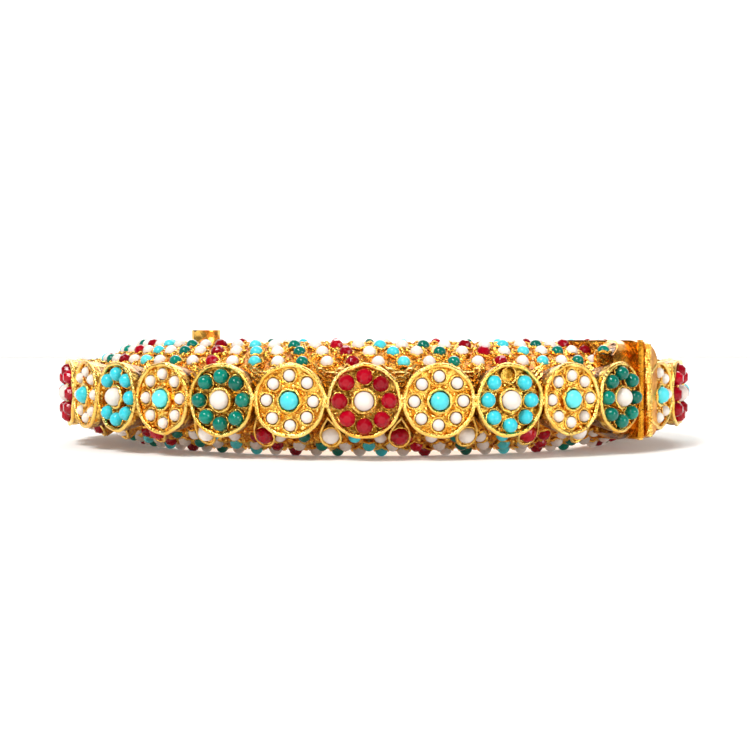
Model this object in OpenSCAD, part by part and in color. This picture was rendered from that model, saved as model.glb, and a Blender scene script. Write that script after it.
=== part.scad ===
// Hinged kada bangle with a screw clasp, lying on its side.
// A closed tube of roofed section carries a band of round rosettes set with beads,
// and sloping rows of studs above and below the band hold the finest stones.
// The Z axis is the ring's own axis, and z = 0 is the surface that it lies on.
// Directions round the ring are in degrees from the front (-Y), growing towards +X.

/* [Ring] */
// Radius of the wrist hole
inner_r = 28.6; // [28:0.1:30]
// Thickness of the tube from the wrist hole to its outer wall
tube_t = 6.9; // [6.5:0.1:7.2]
// Radius of the arc that the roof and the underside follow
roof_r = 19; // [18.5:0.1:19.5]
// How far inside the wrist hole's wall the arc's centre lies
roof_in = 3.4; // [3:0.1:3.8]
// How far past the middle plane the arc's centre lies
roof_past = 12.7; // [12.4:0.1:13]
// Rounding of the tube's inner edges
inner_round = 0.7; // [0.3:0.1:1]

/* [Rosettes] */
// Radius of a rosette's rim
rosette_r = 4; // [3.9:0.05:4]
// Height of the rim's top above the wrist hole's wall
rim_h = 10.9; // [10.8:0.1:11]
// Width of the rim
rim_w = 0.25; // [0.2:0.05:0.25]
// How far a bead strays from its even place, because each is laid by hand
petal_stray = 0.08; // [0:0.02:0.08]
// Radius of a rosette's middle collet
centre_collet_r = 1.45; // [1.35:0.05:1.5]
// Radius of a bead's collet
collet_r = 0.93; // [0.91:0.01:0.93]

/* [Beads] */
// Radius of a ruby bead
ruby_r = 0.81; // [0.75:0.01:0.83]
// Radius of an emerald bead
emerald_r = 0.8; // [0.75:0.01:0.83]
// Radius of a turquoise bead
turquoise_r = 0.81; // [0.75:0.01:0.83]
// Radius of a small pearl
pearl_r = 0.63; // [0.58:0.01:0.68]
// Radius of a rosette's middle pearl
centre_pearl_r = 1.06; // [1:0.02:1.1]
// Radius of a rosette's middle turquoise
centre_turquoise_r = 1.02; // [0.96:0.02:1.1]

/* [Stone rows] */
// Studs in one row, all the way round
row_n = 76; // [70:1:76]
// Radius of a stud
stud_r = 0.72; // [0.66:0.02:0.76]
// Height of a stud above the tube
stud_h = 0.92; // [0.8:0.02:1]
// Radius of the bigger studs between the rosettes, below the band
gap_stud_r = 0.95; // [0.8:0.05:1]

/* [Hinge] */
// Distance of the hinge pin from the ring's axis
hinge_r = 38.95; // [38.9:0.05:39]
// Radius of the hinge barrel
barrel_r = 0.5; // [0.5:0.02:0.56]
// Radius of the hinge pin
pin_r = 0.25; // [0.21:0.02:0.25]
// Top of the hinge's end plates above the middle plane
hinge_top = 6.55; // [6.25:0.1:6.55]
// Foot of the hinge's end plates below the middle plane
hinge_foot = 5.1; // [5:0.1:5.6]

/* [Clasp] */
// Top and foot of the clasp's end plates from the middle plane
clasp_half_h = 5.75; // [5.45:0.1:5.85]
// Radius of the clasp screw's shank
screw_r = 0.8; // [0.7:0.05:0.9]
// Radius of the screw's head
head_r = 2.05; // [1.8:0.05:2.2]
// Height of the screw's head
head_h = 2; // [1.6:0.1:2.2]
// How far the tongue reaches into its pocket
tongue_l = 5; // [4.5:0.1:5.2]

/* [Hidden] */
$fn = 48;
ROSETTES = 30;
FRONT_ROSETTES = 15;
BACK_ROSETTES = ROSETTES - FRONT_ROSETTES;

gold = "gold";
ruby_red = "crimson";
emerald_green = "teal";
turquoise_blue = "turquoise";
pearl_white = "white";

// Gap between pieces that touch in the real bangle, and the running clearance of pins
gap = 0.1;
running = 0.05;
// How far one solid sinks into another that it is soldered to
weld = 0.5;

// Rosettes are numbered round the ring: the first sits beside the clasp
joint_gap = 1.6;
hinge_shift = 0.6;
pitch = (360 - 2 * joint_gap) / ROSETTES;
first_angle = -120.5;
function rosette_angle(n) = first_angle + (n - 1) * pitch + (n > FRONT_ROSETTES ? joint_gap : 0);
hinge_angle = first_angle + (FRONT_ROSETTES - 0.5) * pitch + joint_gap / 2 + hinge_shift;
clasp_angle = first_angle - pitch / 2 - joint_gap / 2;
// A bead's colour goes round the ring in sixes, and every other rosette has small pearls
KINDS = ["turquoise", "pearl", "emerald", "pearl", "ruby", "pearl"];
function kind(n) = KINDS[(n - 1) % len(KINDS)];

// The middle plane lies as high as the lowest studs reach
tube_r = inner_r + tube_t;
rim_r = inner_r + rim_h;
arc_mid_r = inner_r - roof_in;
// Rows of studs on the roof: where each stands from the wrist hole, and its first angle
// above and below the band
ROW_OUT = [5.8, 3.5, 1.35];
ROW_TOP_ANGLE = [5.5, 3.8, 1.3];
ROW_FOOT_ANGLE = [5.9, 8.45, 11.05];
function row_lean(i) = asin((inner_r + ROW_OUT[i] - arc_mid_r) / roof_r);
function row_z(i) = roof_r * cos(row_lean(i)) - roof_past;
crest_row = len(ROW_OUT) - 1;
mid_z = row_z(crest_row) + (stud_h - stud_r) * cos(row_lean(crest_row)) + stud_r;

// End plates: how far each reaches round the ring from its joint, in degrees
hinge_plate = 7.1;
end_plate = 1.25;
clasp_plate = 9;
short_plate = 4.2;
// The long plates carry a rosette, and the short ones cover the edge of the next. At the
// hinge the long plate is only an apron outside the slopes, and a thin end plate closes them.
long_plate_r = rim_r - 1.2;
short_plate_r = rim_r + 0.25;
plate_top_round = 2.4;
plate_foot_round = 1.4;
// Half of the gap between the two halves at a joint, in degrees
half_gap = 0.5 * gap / inner_r * 180 / PI;

// Beads left out, as rosette and place: from an empty collet, and where there is
// no collet either, because a short plate covers the rosette's edge or it has come off
EMPTY = [[13, 2]];
BARE = concat([[7, 4]], [for (n = [1, FRONT_ROSETTES + 1]) for (i = [3:5]) [n, i]]);
PETALS = 8;
petal_ring = rosette_r - rim_w - collet_r - petal_stray - 0.04;
function left_out(n, i, list) = len([for (p = list) if (p[0] == n && p[1] == i) p]) > 0;

// Hand-laid places of the beads on a rosette, in the rosette's own plane
function petal_spot(n, i) =
    let (turn = 360 / PETALS * i + 1.4 * sin(137 * n + 73 * i),
         out = petal_ring + petal_stray * sin(211 * n + 97 * i))
    [out * cos(turn), out * sin(turn)];

// A frame on the ring: x runs round it, y up and z outwards, with the origin at radius r
module on_band(angle, r) {
    rotate([0, 0, angle]) translate([0, -r, mid_z]) rotate([90, 0, 0]) children();
}

// An upright frame: x runs round the ring and y inwards
module upright(angle, r, z) {
    rotate([0, 0, angle]) translate([0, -r, mid_z + z]) children();
}

// A profile of radius and height turned round the ring from one angle to another
module sweep(from, to) {
    translate([0, 0, mid_z]) rotate([0, 0, from - 90]) rotate_extrude(angle = to - from) children();
}

// A rectangle with rounded corners, one radius for the foot and one for the top
module rounded(r0, r1, z0, z1, foot_round, top_round) {
    union() {
        translate([r0, z0 + foot_round]) square([r1 - r0, z1 - z0 - foot_round - top_round]);
        translate([r0 + foot_round, z0]) square([r1 - r0 - 2 * foot_round, (z1 - z0) / 2]);
        translate([r0 + top_round, (z0 + z1) / 2]) square([r1 - r0 - 2 * top_round, (z1 - z0) / 2]);
        for (r = [r0 + foot_round, r1 - foot_round])
            translate([r, z0 + foot_round]) circle(r = foot_round);
        for (r = [r0 + top_round, r1 - top_round])
            translate([r, z1 - top_round]) circle(r = top_round);
    }
}

// Half of the tube's section, above the middle plane
module roof_section() {
    crest = sqrt(pow(roof_r, 2) - pow(roof_in, 2)) - roof_past + 0.05;
    intersection() {
        rounded(inner_r, tube_r + 2, -crest, crest, inner_round, inner_round);
        square([tube_r, 2 * crest]);
        translate([arc_mid_r, -roof_past]) circle(r = roof_r);
    }
}
module tube_section() {
    union() {
        roof_section();
        mirror([0, 1]) roof_section();
    }
}

// Outer part of the hinge's long plate, clear of the studs on the slopes
module apron_section() {
    intersection() {
        plate_section(long_plate_r, hinge_foot, hinge_top);
        union() {
            translate([tube_r - 0.05, -10]) square([10, 20]);
            translate([tube_r - 0.6, -3.1]) square([10, 6.2]);
        }
    }
}
module plate_section(outer_r, foot, top) {
    intersection() {
        rounded(inner_r, outer_r + 5, -foot, top, inner_round, inner_round);
        rounded(inner_r - 5, outer_r, -foot, top, plate_foot_round, plate_top_round);
    }
}

// One rosette: a round box with a rim, a middle collet and a ring of small collets.
// Pearl rosettes are filled almost to the rim, and their pearls sit in round pits, or in
// the back half are round studs of one piece with it.
module rosette(n) {
    pearls = kind(n) == "pearl";
    studded = pearls && n > FRONT_ROSETTES;
    floor_z = pearls ? -0.2 : -0.55;
    collet_z = floor_z + (pearls ? 0.15 : 0.3);
    pit_r = pearls ? pearl_r + 0.12 : ruby_r + 0.04;
    pit_z = pearls ? pearl_pit : floor_z - 0.1;
    base_z = tube_r - rim_r - weld;
    on_band(rosette_angle(n), rim_r) difference() {
        union() {
            rotate_extrude() polygon([
                [0, base_z], [rosette_r - 0.85, base_z], [rosette_r, -0.7], [rosette_r, 0],
                [rosette_r - rim_w, 0], [rosette_r - rim_w, floor_z], [0, floor_z]]);
            translate([0, 0, floor_z - weld]) cylinder(r = centre_collet_r, h = weld + 0.2 - floor_z);
            for (i = [0:PETALS - 1]) if (!left_out(n, i, BARE))
                translate([petal_spot(n, i)[0], petal_spot(n, i)[1], floor_z - weld]) {
                    cylinder(r = collet_r, h = collet_z - floor_z + weld);
                    if (studded) translate([0, 0, pearl_z - floor_z + weld]) sphere(r = pearl_r);
                }
        }
        translate([0, 0, centre_floor]) cylinder(r = centre_pearl_r + gap, h = 2);
        for (i = [0:PETALS - 1]) if (!studded && !left_out(n, i, BARE))
            translate([petal_spot(n, i)[0], petal_spot(n, i)[1], pit_z])
                cylinder(r = pit_r, h = 2);
    }
}
centre_floor = -0.75;
pearl_pit = -0.8;
pearl_z = pearl_pit + running + pearl_r;

// Studs on the roof and the underside between two angles. They carry the finest stones.
module studs(from, to) {
    step = 360 / row_n;
    for (i = [0:len(ROW_OUT) - 1]) {
        for (j = [ceil((from - ROW_TOP_ANGLE[i]) / step):floor((to - ROW_TOP_ANGLE[i]) / step)])
            rotate([0, 0, ROW_TOP_ANGLE[i] + j * step]) translate([0, 0, mid_z]) stud(i);
        for (j = [ceil((from - ROW_FOOT_ANGLE[i]) / step):floor((to - ROW_FOOT_ANGLE[i]) / step)])
            rotate([0, 0, ROW_FOOT_ANGLE[i] + j * step]) translate([0, 0, mid_z])
                mirror([0, 0, 1]) stud(i);
    }
}
module stud(i) {
    translate([0, -inner_r - ROW_OUT[i], row_z(i)]) rotate([row_lean(i), 0, 0])
        translate([0, 0, stud_h - stud_r]) sphere(r = stud_r);
}

// A bigger stud on a lozenge foot in the gap after a rosette, below the band
module gap_stud(n) {
    rotate([0, 0, rosette_angle(n) + pitch / 2]) translate([0, -tube_r + 0.6, mid_z - 2.9])
        rotate([122, 0, 0]) {
            cylinder(r = 1.7 * gap_stud_r, h = 1.9, $fn = 4);
            translate([0, 0, 1.8]) sphere(r = gap_stud_r);
        }
}

// Hinge: the barrel's knuckles from the foot up, with the middle one on the back half
KNUCKLE_CUTS = [-1.65, 2.95];
barrel_foot = -hinge_foot + 0.2;
barrel_top = hinge_top - 0.2;
module on_hinge(z) {
    upright(hinge_angle, hinge_r, z) children();
}
module knuckle(low, high) {
    on_hinge(low) cylinder(r = barrel_r, h = high - low);
}
module knuckle_room(low, high) {
    on_hinge(low) cylinder(r = barrel_r + 0.12, h = high - low);
}
module pin_bore() {
    on_hinge(-10) cylinder(r = pin_r + running, h = 20);
}

// The apron's top and foot slope away from the hinge
module apron() {
    difference() {
        sweep(hinge_angle - hinge_plate, hinge_angle - end_plate + 0.7) apron_section();
        upright(hinge_angle, hinge_r, 5.2) translate([-4, -5, 0]) rotate([0, -28, 0])
            translate([-5, 0, 0]) cube([10, 15, 6]);
        upright(hinge_angle, hinge_r, -4.3) translate([-4.2, -5, 0]) rotate([0, 16, 0])
            translate([-5, 0, -6]) cube([8.3, 15, 6]);
    }
}

// A leaf joins each of the front half's knuckles to its plate
module leaf(low, high) {
    on_hinge(low) translate([-barrel_r, 0, 0]) cube([barrel_r - 0.15, 1.4, high - low]);
}

// Clasp: the tongue and its pocket are arcs round the hinge pin, so that the tongue slides
// straight out as the bangle opens. The screw stands in the tongue's open slot.
tongue_half_w = 1.6;
tongue_half_h = 1.2;
clasp_mid_r = 32.1;
screw_in = 2.5;
function ring_point(angle, r) = [r * sin(angle), -r * cos(angle)];
hinge_at = ring_point(hinge_angle, hinge_r);
clasp_at = ring_point(clasp_angle, clasp_mid_r);
clasp_reach = norm(clasp_at - hinge_at);
clasp_bearing = atan2(clasp_at[1] - hinge_at[1], clasp_at[0] - hinge_at[0]);
function reach_angle(length) = length / clasp_reach * 180 / PI;
// An arc bar turned about the hinge pin, measured from the clasp's joint: positive lengths
// reach into the front half, and negative ones into the back half
module arc_bar(half_w, half_h, from, to) {
    translate([hinge_at[0], hinge_at[1], mid_z])
        rotate([0, 0, clasp_bearing + reach_angle(from)])
            rotate_extrude(angle = reach_angle(to - from))
                translate([clasp_reach - half_w, -half_h]) square([2 * half_w, 2 * half_h]);
}
module at_screw(z) {
    translate([hinge_at[0], hinge_at[1], mid_z + z])
        rotate([0, 0, clasp_bearing - reach_angle(screw_in)]) translate([clasp_reach, 0, 0]) children();
}
screw_foot = -clasp_half_h + 1.3;

module front_shell() {
    color(gold) difference() {
        union() {
            sweep(clasp_angle + short_plate - 1, hinge_angle - end_plate + 0.5) tube_section();
            sweep(clasp_angle + half_gap, clasp_angle + short_plate)
                plate_section(short_plate_r, clasp_half_h, clasp_half_h);
            sweep(hinge_angle - end_plate, hinge_angle - half_gap)
                plate_section(long_plate_r, hinge_foot, hinge_top);
            apron();
            for (n = [1:FRONT_ROSETTES]) rosette(n);
            for (n = [1:FRONT_ROSETTES - 1]) gap_stud(n);
            studs(clasp_angle + short_plate + 1.5, hinge_angle - end_plate - 0.9);
            knuckle(barrel_foot, KNUCKLE_CUTS[0]);
            knuckle(KNUCKLE_CUTS[1], barrel_top);
            leaf(-3.9, KNUCKLE_CUTS[0]);
            leaf(KNUCKLE_CUTS[1], 4.6);
            difference() {
                arc_bar(tongue_half_w, tongue_half_h, -tongue_l, 1.5);
                arc_bar(screw_r + 0.15, 2 * tongue_half_h, -tongue_l - 1, screw_r + 0.2 - screw_in);
            }
        }
        knuckle_room(KNUCKLE_CUTS[0], KNUCKLE_CUTS[1]);
        pin_bore();
    }
}

module back_shell() {
    color(gold) difference() {
        union() {
            difference() {
                union() {
                    sweep(hinge_angle + short_plate - 1, 360 + clasp_angle - clasp_plate + 1)
                        tube_section();
                    sweep(hinge_angle + half_gap, hinge_angle + short_plate)
                        plate_section(short_plate_r, hinge_foot, hinge_top);
                    for (n = [FRONT_ROSETTES + 1:ROSETTES]) rosette(n);
                    for (n = [FRONT_ROSETTES + 1:ROSETTES - 1]) gap_stud(n);
                    studs(hinge_angle + short_plate + 1.5, 360 + clasp_angle - clasp_plate - 1.5);
                }
                knuckle_room(-10, KNUCKLE_CUTS[0] + gap);
                knuckle_room(KNUCKLE_CUTS[1] - gap, 10);
                // The plate's outer corner stays clear of the rosette beyond the barrel
                on_hinge(-10) translate([-1, -2, 0]) cube([1.55, 1.75, 20]);
            }
            sweep(360 + clasp_angle - clasp_plate, 360 + clasp_angle - half_gap)
                plate_section(long_plate_r, clasp_half_h, clasp_half_h);
            knuckle(KNUCKLE_CUTS[0] + gap, KNUCKLE_CUTS[1] - gap);
        }
        pin_bore();
        arc_bar(tongue_half_w + 0.25, tongue_half_h + 0.25, -tongue_l - 0.5, 1);
        at_screw(screw_foot - 0.3) cylinder(r = screw_r + running, h = 20);
    }
}

module hinge_pin() {
    color(gold) union() {
        on_hinge(barrel_foot - 0.15) cylinder(r = pin_r, h = barrel_top - barrel_foot + 0.3);
        on_hinge(barrel_foot - running - 0.2) cylinder(r = barrel_r - 0.15, h = 0.2);
        on_hinge(barrel_top + running) cylinder(r = barrel_r - 0.15, h = 0.2);
    }
}

module clasp_screw() {
    color(gold) union() {
        at_screw(screw_foot) cylinder(r = screw_r, h = clasp_half_h + head_h / 2 - screw_foot);
        at_screw(clasp_half_h + gap) cylinder(r = head_r, h = head_h);
    }
}

module faceted_bead(r) {
    rotate_extrude($fn = 8)
        polygon([[0, 0], [0.65 * r, 0], [r, 0.6 * r], [r, 1.1 * r], [0.6 * r, 1.85 * r],
                 [0, 1.85 * r]]);
}
module cabochon(r) {
    rotate_extrude() intersection() {
        translate([0, 0.7 * r]) circle(r = r);
        square([2 * r, 2 * r]);
    }
}

// The beads of one kind on the rosettes from one number to another
module beads(which, from, to) {
    for (n = [from:to]) if (kind(n) == which)
        on_band(rosette_angle(n), rim_r)
            for (i = [0:PETALS - 1]) if (!left_out(n, i, EMPTY) && !left_out(n, i, BARE))
                translate([petal_spot(n, i)[0], petal_spot(n, i)[1], 0]) children();
}
coloured_seat = -0.65 + running;
module rubies(from, to) {
    color(ruby_red) beads("ruby", from, to) translate([0, 0, coloured_seat]) faceted_bead(ruby_r);
}
module emeralds(from, to) {
    color(emerald_green) beads("emerald", from, to) translate([0, 0, coloured_seat])
        faceted_bead(emerald_r);
}
module turquoises(from, to) {
    color(turquoise_blue) beads("turquoise", from, to) translate([0, 0, coloured_seat])
        cabochon(turquoise_r);
}
module pearls(from, to) {
    color(pearl_white) beads("pearl", from, to) translate([0, 0, pearl_z]) sphere(r = pearl_r);
}

// The middle stone of one rosette
module centre(n) {
    on_band(rosette_angle(n), rim_r) translate([0, 0, centre_floor + running])
        if (kind(n) == "pearl") color(turquoise_blue) cabochon(centre_turquoise_r);
        else color(pearl_white) translate([0, 0, centre_pearl_r]) sphere(r = centre_pearl_r);
}

front_shell();
back_shell();
hinge_pin();
clasp_screw();
rubies(1, FRONT_ROSETTES);  // front_rubies
emeralds(1, FRONT_ROSETTES);  // front_emeralds
turquoises(1, FRONT_ROSETTES);  // front_turquoises
pearls(1, FRONT_ROSETTES);  // front_pearls
rubies(FRONT_ROSETTES + 1, ROSETTES);  // back_rubies
emeralds(FRONT_ROSETTES + 1, ROSETTES);  // back_emeralds
turquoises(FRONT_ROSETTES + 1, ROSETTES);  // back_turquoises
for (n = [1:FRONT_ROSETTES])
    centre(n);
for (n = [1:BACK_ROSETTES])
    centre(FRONT_ROSETTES + n);
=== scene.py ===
# %% [markdown]
# # A hinged kada bangle
#
# A kada is a stiff round bangle. This one is gold, in two halves with a hinge and a screw
# clasp, and it wears a band of thirty rosettes between two slopes of small stones.
#
# The exact model holds what carries and fits: the shells, the hinge, the screw and the beads
# of the rosettes. The fine stones and wires could be in it too, but hundreds of them would
# make it heavy. So we load it as a fixed frame and dress it here.

# %% Load the exact model
import math

import bpy
import numpy as np
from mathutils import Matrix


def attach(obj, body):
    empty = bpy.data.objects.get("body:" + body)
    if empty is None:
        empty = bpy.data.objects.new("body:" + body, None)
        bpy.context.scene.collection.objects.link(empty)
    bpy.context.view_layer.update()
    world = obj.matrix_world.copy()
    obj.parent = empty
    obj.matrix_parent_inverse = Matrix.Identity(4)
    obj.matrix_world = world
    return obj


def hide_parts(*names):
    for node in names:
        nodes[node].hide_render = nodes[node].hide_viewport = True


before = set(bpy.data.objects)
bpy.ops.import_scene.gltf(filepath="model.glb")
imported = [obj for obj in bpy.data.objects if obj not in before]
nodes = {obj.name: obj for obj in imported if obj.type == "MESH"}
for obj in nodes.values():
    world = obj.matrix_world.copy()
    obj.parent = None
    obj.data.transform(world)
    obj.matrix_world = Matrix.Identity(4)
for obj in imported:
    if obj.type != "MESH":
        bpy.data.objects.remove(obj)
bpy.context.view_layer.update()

# %% [markdown]
# ## The ring's numbers
#
# Sizes are in millimetres and degrees. An angle of 0 is the front of the ring, and angles
# grow towards the right. We could pick each stone's place off the exact model's mesh, but the
# few sizes that shaped that model give the same places by formulas, which are easier to read.

# %% Sizes of the ring and its slopes
MM = 0.001
# Radii of the wrist hole, of the tube's outer face and of the rosettes' rims
INNER_R, TUBE_R, RIM_R = 28.6, 35.5, 39.5
# The roof of the tube is an arc. Its middle lies this far from the ring's axis, it has this
# radius, and its middle lies this far past the ring's middle plane
ARC_MID_R, ROOF_R, ROOF_PAST = 25.2, 19.0, 12.7
# The rows of stones on a slope, the one beside the band first: how far each lies outside the
# wrist hole, and the angle of one of its stones above and below the band
ROW_OUT = (5.8, 3.5, 1.35)
TOP_START = (5.5, 3.8, 1.3)
FOOT_START = (5.9, 8.45, 11.05)
STONES_ROUND = 76
ROW_STEP = 360 / STONES_ROUND
# Each stone's stud in the exact model is a ball of this radius that stands this high
STUD_R, STUD_H = 0.72, 0.92


def row_lean(i):
    """How far row i's stones lean from upright: the sine is the distance from the arc's
    middle over the arc's radius."""
    return math.asin((INNER_R + ROW_OUT[i] - ARC_MID_R) / ROOF_R)


def row_z(i):
    """Height of the roof above the middle plane at row i: the radius times the cosine of the
    lean, less how far the arc's middle lies past the plane."""
    return ROOF_R * math.cos(row_lean(i)) - ROOF_PAST


# The ring lies on the studs of its lowest row, so these give the height of the middle plane
MID_Z = row_z(2) + (STUD_H - STUD_R) * math.cos(row_lean(2)) + STUD_R
print("middle plane at", round(MID_Z, 3), "mm")

# %% [markdown]
# ## Where the two halves meet
#
# The rosettes are spread evenly over what the two joints leave of the circle. The hinge is at
# the front right and the clasp at the back left. Plates close the tube on both sides of each
# joint. We need their angles to keep the stones off them and to polish them.

# %% Angles of the joints
ROSETTES, FRONT_ROSETTES, JOINT_GAP = 30, 15, 1.6
PITCH = (360 - 2 * JOINT_GAP) / ROSETTES
FIRST_ANGLE, HINGE_SHIFT = -120.5, 0.6
HINGE_ANGLE = FIRST_ANGLE + (FRONT_ROSETTES - 0.5) * PITCH + JOINT_GAP / 2 + HINGE_SHIFT
CLASP_ANGLE = FIRST_ANGLE - PITCH / 2 - JOINT_GAP / 2
# How many degrees each plate takes: the apron and the end plate before the hinge, the block
# before the clasp, and the short plate after either joint
APRON_PLATE, END_PLATE, CLASP_PLATE, SHORT_PLATE = 7.1, 1.25, 9.0, 4.2
# How far from the ring's axis the hinge pin stands and the apron reaches
HINGE_R, APRON_R = 38.95, 38.3
print("hinge at", round(HINGE_ANGLE, 2), "and clasp at", round(CLASP_ANGLE, 2), "degrees")

# %% [markdown]
# ## Shader maths that reads like Python
#
# A material is a small graph of nodes, joined by wires. We could join each node by hand, but a
# formula then takes a dozen lines. `Wire` stands for one wire, so that adding or multiplying
# two wires adds the node that does it.

# %% A wire


class Wire:
    """One output of a finish's graph. Sums, products and powers of wires are Math nodes."""

    def __init__(self, finish, socket):
        self.finish, self.socket = finish, socket

    def __add__(self, other):
        return self.finish.math("ADD", self, other)

    def __radd__(self, other):
        return self.finish.math("ADD", other, self)

    def __sub__(self, other):
        return self.finish.math("SUBTRACT", self, other)

    def __rsub__(self, other):
        return self.finish.math("SUBTRACT", other, self)

    def __mul__(self, other):
        return self.finish.math("MULTIPLY", self, other)

    def __rmul__(self, other):
        return self.finish.math("MULTIPLY", other, self)

    def __truediv__(self, other):
        return self.finish.math("DIVIDE", self, other)

    def __rtruediv__(self, other):
        return self.finish.math("DIVIDE", other, self)

    def __pow__(self, other):
        return self.finish.math("POWER", self, other)

    def __rpow__(self, other):
        return self.finish.math("POWER", other, self)


print("wires know", sum(name.startswith("__r") for name in vars(Wire)), "kinds of sums")

# %% [markdown]
# ## A finish
#
# `Finish` is one material. What is the same all over the surface is set on the main shader's
# own sockets, and what changes comes to it through wires. All patterns read the object's own
# coordinates, so they stay on the metal when a half swings open.

# %% A finish


class Finish:
    """A material whose constants sit on the main shader's own sockets."""

    def __init__(self, name, **constants):
        self.data = bpy.data.materials.new(name)
        self.data.use_nodes = True
        self.tree = self.data.node_tree
        self.shader = self.tree.nodes["Principled BSDF"]
        for socket, value in constants.items():
            self.shader.inputs[socket.replace("_", " ")].default_value = value

    def node(self, node_type, inputs, output, **settings):
        """Adds any node: inputs by name or number, plain values or wires; returns one output."""
        node = self.tree.nodes.new(node_type)
        for setting, value in settings.items():
            setattr(node, setting, value)
        for socket, value in inputs.items():
            if isinstance(value, Wire):
                self.tree.links.new(value.socket, node.inputs[socket])
            else:
                node.inputs[socket].default_value = value
        return Wire(self, node.outputs[output])

    def feed(self, socket, wire):
        """Joins a wire to one socket of the main shader."""
        self.tree.links.new(wire.socket, self.shader.inputs[socket])

    def math(self, operation, first, second):
        """A Math node on two values, either of which may be a plain number."""
        return self.node("ShaderNodeMath", {0: first, 1: second}, 0, operation=operation)

    def clamp(self, wire):
        """Keeps a wire between 0 and 1."""
        return self.node("ShaderNodeClamp", {0: wire}, 0)

    def mix(self, share, low, high):
        """Mixes two colours: the share says how much of the high one."""
        return self.node("ShaderNodeMix", {0: share, 6: low, 7: high}, 2, data_type="RGBA")

    def place(self):
        """Where a point lies on the bangle, in metres."""
        return self.node("ShaderNodeTexCoord", {}, "Object")

    def axes(self):
        """The three coordinates of a point, in millimetres."""
        split = self.node("ShaderNodeSeparateXYZ", {0: self.place()}, "X").socket.node
        return [Wire(self, split.outputs[axis]) / MM for axis in "XYZ"]

    def noise(self, per_mm, detail=2.0):
        """Soft noise from 0 to 1 with about that many waves in a millimetre."""
        return self.node("ShaderNodeTexNoise", {"Vector": self.place(), "Scale": per_mm / MM,
                                                "Detail": detail}, 0)

    def cells(self, per_mm):
        """Distance to the nearest of many scattered points, for hammer marks and grains."""
        return self.node("ShaderNodeTexVoronoi", {"Vector": self.place(), "Scale": per_mm / MM}, 0)

    def patches(self, per_mm, detail, contrast, dark):
        """Noise pulled apart into patches: the noise times the contrast, less what goes dark."""
        return self.clamp(self.noise(per_mm, detail) * contrast - dark)

    def rise(self, wire, start, steep=9.0):
        """0 up to a start, and from there a climb to 1, that steep."""
        return self.clamp((wire - start) * steep)

    def fall(self, wire, end, steep):
        """1 well before an end, and from there a slope to 0 at the end, that steep."""
        return self.clamp((end - wire) * steep)

    def above(self, wire, limit):
        """How far a wire is above a limit, and 0 below it."""
        return self.math("MAXIMUM", wire - limit, 0.0)

    def bump(self, height_mm):
        """Bumps the surface by a height in millimetres."""
        self.feed("Normal", self.node("ShaderNodeBump", {"Height": height_mm, "Distance": MM},
                                      "Normal"))


print("a finish can", ", ".join(name for name in vars(Finish) if name[0] != "_"))

# %% [markdown]
# ## Wire, sheet and solder
#
# The rims and collets are drawn wire, the slopes are grained sheet, and between the stones
# lie grains of solder. All are one gold that the maker's hammer and torch left uneven. A
# picture of gold could give that, but noise has no seams on a ring: it goes from orange to
# yellow and lifts a fine grain over wider dents.

# %% Gold of wire, sheet and solder


def gold_finish(name, yellow, orange, grain_mm, dent_mm):
    """Bright gold: yellow where the noise is high and orange where it is low."""
    gold = Finish(name, Metallic=1.0)
    gold.feed("Base Color", gold.mix(gold.patches(0.5, 3.0, 2.6, 0.8), orange, yellow))
    gold.feed("Roughness", 0.14 + 0.2 * gold.noise(2.0))
    gold.bump(grain_mm * gold.noise(3.0, 4.0) + dent_mm * gold.cells(0.9))
    return gold.data


wire_gold = gold_finish("wire_gold", (1.0, 0.74, 0.22, 1), (0.94, 0.48, 0.06, 1), 0.16, 0.14)
sheet_gold = gold_finish("sheet_gold", (1.0, 0.66, 0.14, 1), (0.80, 0.30, 0.02, 1), 0.26, 0.12)
grain_gold = gold_finish("grain_gold", (1.0, 0.64, 0.12, 1), (0.72, 0.22, 0.01, 1), 0.12, 0.06)
plain_gold = gold_finish("plain_gold", (1.0, 0.60, 0.14, 1), (0.84, 0.40, 0.06, 1), 0.02, 0.10)
print("made", wire_gold.name, sheet_gold.name, grain_gold.name, plain_gold.name)

# %% [markdown]
# ## Regions of a shell
#
# Each shell is one soldered piece, yet it doesn't look the same all over: the slopes are
# grained, the dishes and hollows of the band get painted shade that makes them darker than
# the rims, and the plates and the inner wall are polished. We could split the mesh and give
# each part its own material. Instead one material tells them apart by a point's distance from
# the axis, its angle and its height, so that the exact mesh stays as it is.

# %% Masks of the shells' regions
BAND_R = 35.7
# Radii where the painted shade of the hollows starts, where the dish floors start and where the rims
# top out
GAP_R, DISH_R, RIM_TOP_R = 36.0, 38.6, 39.22
WALL_DEPTH = 0.25
# The apron is told by what lies far from a corner: the corner's distance from the axis, its
# height above the middle plane, and how far from it the apron starts
APRON_BEND_R, APRON_BEND_Z, APRON_ROUND = 35.9, 4.15, 2.2


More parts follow.
